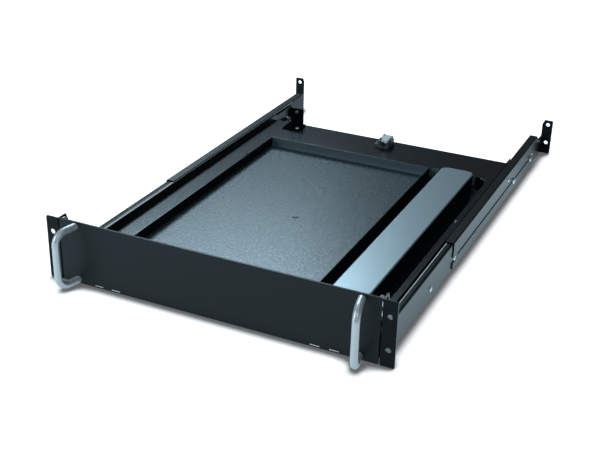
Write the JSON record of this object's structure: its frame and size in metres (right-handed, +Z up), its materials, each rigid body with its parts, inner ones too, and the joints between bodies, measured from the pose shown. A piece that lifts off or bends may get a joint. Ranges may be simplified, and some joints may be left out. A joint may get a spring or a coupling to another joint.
{
  "type": "rack keyboard drawer",
  "caption": "Rack-mount keyboard drawer with handles, recessed deck, palm rest and telescopic ball slides on depth-adjusting brackets.",
  "frame": {"origin": "on the plane of the lowest edges, under the middle of the closed drawer's bounding box", "axes": "+X to the right seen from the front, +Y from the front panel to the back of the rack, +Z up"},
  "size_m": [0.4826, 0.7812, 0.0881],
  "materials": {
    "panel_black": "satin powder coat, near black",
    "bracket_black": "satin powder coat, near black",
    "deck_grey": "fine-grained, dark blue-grey",
    "palm_grey": "fine-grained, blue-grey",
    "handle_aluminium": "satin",
    "slide_steel": "dark plate, the rolled lips rubbed bright",
    "spring_steel": "bright spring strip",
    "cage_steel": "plain strip",
    "ball_steel": "polished",
    "screw_zinc": "bright zinc plate",
    "screw_dark": "black oxide",
    "clamp_black": "moulded, black",
    "clamp_light": "glossy, light grey"
  },
  "bodies": {
    "rails": {"front_bracket_right": "bracket_black", "front_bracket_left": "bracket_black", "outer_slide_right": "slide_steel", "outer_slide_left": "slide_steel", "slide_screws_right": "screw_zinc", "slide_screws_left": "screw_zinc", "adjust_screws_right": "screw_zinc", "adjust_screws_left": "screw_zinc", "edge_spring_right": "spring_steel", "edge_spring_left": "spring_steel"},
    "drawer": {"front_panel": "panel_black", "drawer_pan": "bracket_black", "deck": "deck_grey", "palm_rest": "palm_grey", "handle_screws": "screw_zinc", "deck_screws": "screw_zinc", "side_screw": "screw_zinc", "centre_screw": "screw_zinc", "cable_clamp_base": "clamp_black", "cable_clamp_screws": "screw_zinc", "cable_bracket": "bracket_black", "cable_bracket_foot_screw": "screw_zinc", "cable_bracket_top_screw": "screw_dark", "handle_right": "handle_aluminium", "handle_left": "handle_aluminium", "inner_slide_right": "slide_steel", "inner_slide_left": "slide_steel", "inner_slide_screws_right": "screw_zinc", "inner_slide_screws_left": "screw_zinc", "lever_pin_right": "slide_steel", "lever_pin_left": "slide_steel"},
    "clamp_lid": {"cable_clamp_lid": "clamp_light"},
    "rear_right": {"rear_bracket_right": "bracket_black", "bracket_rivets_right": "screw_zinc"},
    "middle_right": {"middle_slide_right": "slide_steel"},
    "outer_cage_right": {"outer_ball_cage_right": "cage_steel", "outer_balls_right": "ball_steel"},
    "inner_cage_right": {"inner_ball_cage_right": "cage_steel", "inner_balls_right": "ball_steel"},
    "lever_right": {"release_lever_right": "slide_steel"},
    "rear_left": {"rear_bracket_left": "bracket_black", "bracket_rivets_left": "screw_zinc"},
    "middle_left": {"middle_slide_left": "slide_steel"},
    "outer_cage_left": {"outer_ball_cage_left": "cage_steel", "outer_balls_left": "ball_steel"},
    "inner_cage_left": {"inner_ball_cage_left": "cage_steel", "inner_balls_left": "ball_steel"},
    "lever_left": {"release_lever_left": "slide_steel"}
  },
  "joints": [
    {"name": "drawer_slide", "type": "slide", "parent": "rails", "child": "drawer", "axis": [0, -1, 0], "range_m": [0, 0.56]},
    {"name": "clamp_lid_hinge", "type": "hinge", "parent": "drawer", "child": "clamp_lid", "pos_m": [-0.0014, 0.21993, 0.042], "axis": [0, -1, 0], "range_deg": [0, 100]},
    {"name": "rear_bracket_slide_right", "type": "slide", "parent": "rails", "child": "rear_right", "axis": [0, 1, 0], "range_m": [0, 0.28]},
    {"name": "middle_slide_right", "type": "slide", "parent": "rails", "child": "middle_right", "axis": [0, -1, 0], "range_m": [0, 0.28]},
    {"name": "outer_cage_slide_right", "type": "slide", "parent": "rails", "child": "outer_cage_right", "axis": [0, -1, 0], "range_m": [0, 0.14]},
    {"name": "inner_cage_slide_right", "type": "slide", "parent": "rails", "child": "inner_cage_right", "axis": [0, -1, 0], "range_m": [0, 0.42]},
    {"name": "lever_hinge_right", "type": "hinge", "parent": "drawer", "child": "lever_right", "pos_m": [0.21225, -0.2034, 0.021], "axis": [-1, 0, 0], "range_deg": [0, 4.5], "stiffness_Nm_per_rad": 0.3, "springref_deg": -2.86},
    {"name": "rear_bracket_slide_left", "type": "slide", "parent": "rails", "child": "rear_left", "axis": [0, 1, 0], "range_m": [0, 0.28]},
    {"name": "middle_slide_left", "type": "slide", "parent": "rails", "child": "middle_left", "axis": [0, -1, 0], "range_m": [0, 0.28]},
    {"name": "outer_cage_slide_left", "type": "slide", "parent": "rails", "child": "outer_cage_left", "axis": [0, -1, 0], "range_m": [0, 0.14]},
    {"name": "inner_cage_slide_left", "type": "slide", "parent": "rails", "child": "inner_cage_left", "axis": [0, -1, 0], "range_m": [0, 0.42]},
    {"name": "lever_hinge_left", "type": "hinge", "parent": "drawer", "child": "lever_left", "pos_m": [-0.21225, -0.2034, 0.021], "axis": [-1, 0, 0], "range_deg": [0, 4.5], "stiffness_Nm_per_rad": 0.3, "springref_deg": -2.86}
  ],
  "couplings": [
    {"joint": "middle_slide_right", "follows": "drawer_slide", "ratio": 0.5},
    {"joint": "outer_cage_slide_right", "follows": "drawer_slide", "ratio": 0.25},
    {"joint": "inner_cage_slide_right", "follows": "drawer_slide", "ratio": 0.75},
    {"joint": "middle_slide_left", "follows": "drawer_slide", "ratio": 0.5},
    {"joint": "outer_cage_slide_left", "follows": "drawer_slide", "ratio": 0.25},
    {"joint": "inner_cage_slide_left", "follows": "drawer_slide", "ratio": 0.75}
  ]
}
